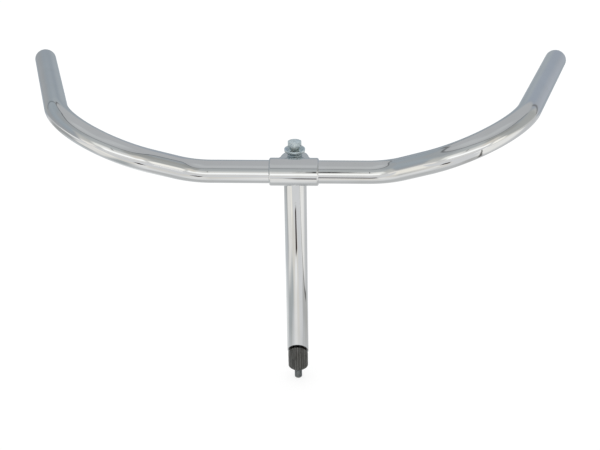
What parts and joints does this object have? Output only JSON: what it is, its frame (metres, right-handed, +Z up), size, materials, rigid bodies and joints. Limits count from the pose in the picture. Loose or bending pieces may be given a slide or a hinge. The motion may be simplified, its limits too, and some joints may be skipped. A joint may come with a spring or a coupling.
{
  "type": "bicycle handlebar",
  "caption": "Swept-back roadster handlebar in a sleeve lug, with a quill stem that a long bolt and a fluted wedge lock in the steerer.",
  "frame": {"origin": "on the stem's axis, where the quill's full round starts under the lug", "axes": "+X along the straight middle of the bar, +Y back towards the grips and the rider, +Z up the stem"},
  "size_m": [0.5708, 0.219, 0.3136],
  "materials": {
    "bar_chrome": "bright chrome plate",
    "lug_chrome": "bright chrome plate",
    "stem_chrome": "bright chrome plate",
    "dark_steel": "oiled dark steel",
    "zinc_bolt": "blue zinc plate, scuffed",
    "zinc_washer": "blue zinc plate"
  },
  "bodies": {
    "stem": {"stem_lug": "lug_chrome", "stem_tube": "stem_chrome", "handlebar_tube": "bar_chrome", "spring_washer": "zinc_washer", "cup_washer": "zinc_washer"},
    "bolt": {"expander_bolt": "zinc_bolt"},
    "wedge": {"expander_wedge": "dark_steel"}
  },
  "joints": [
    {"name": "bolt_turn", "type": "hinge", "parent": "stem", "child": "bolt", "pos_m": [0, 0, 0], "axis": [0, 0, -1], "range_deg": [-1441, 721]},
    {"name": "wedge_draw", "type": "slide", "parent": "stem", "child": "wedge", "axis": [0, 0, 1], "range_m": [-0.005, 0.0025]}
  ],
  "couplings": [
    {"joint": "bolt_turn", "follows": "wedge_draw", "rad_per_m": 5026.5}
  ]
}
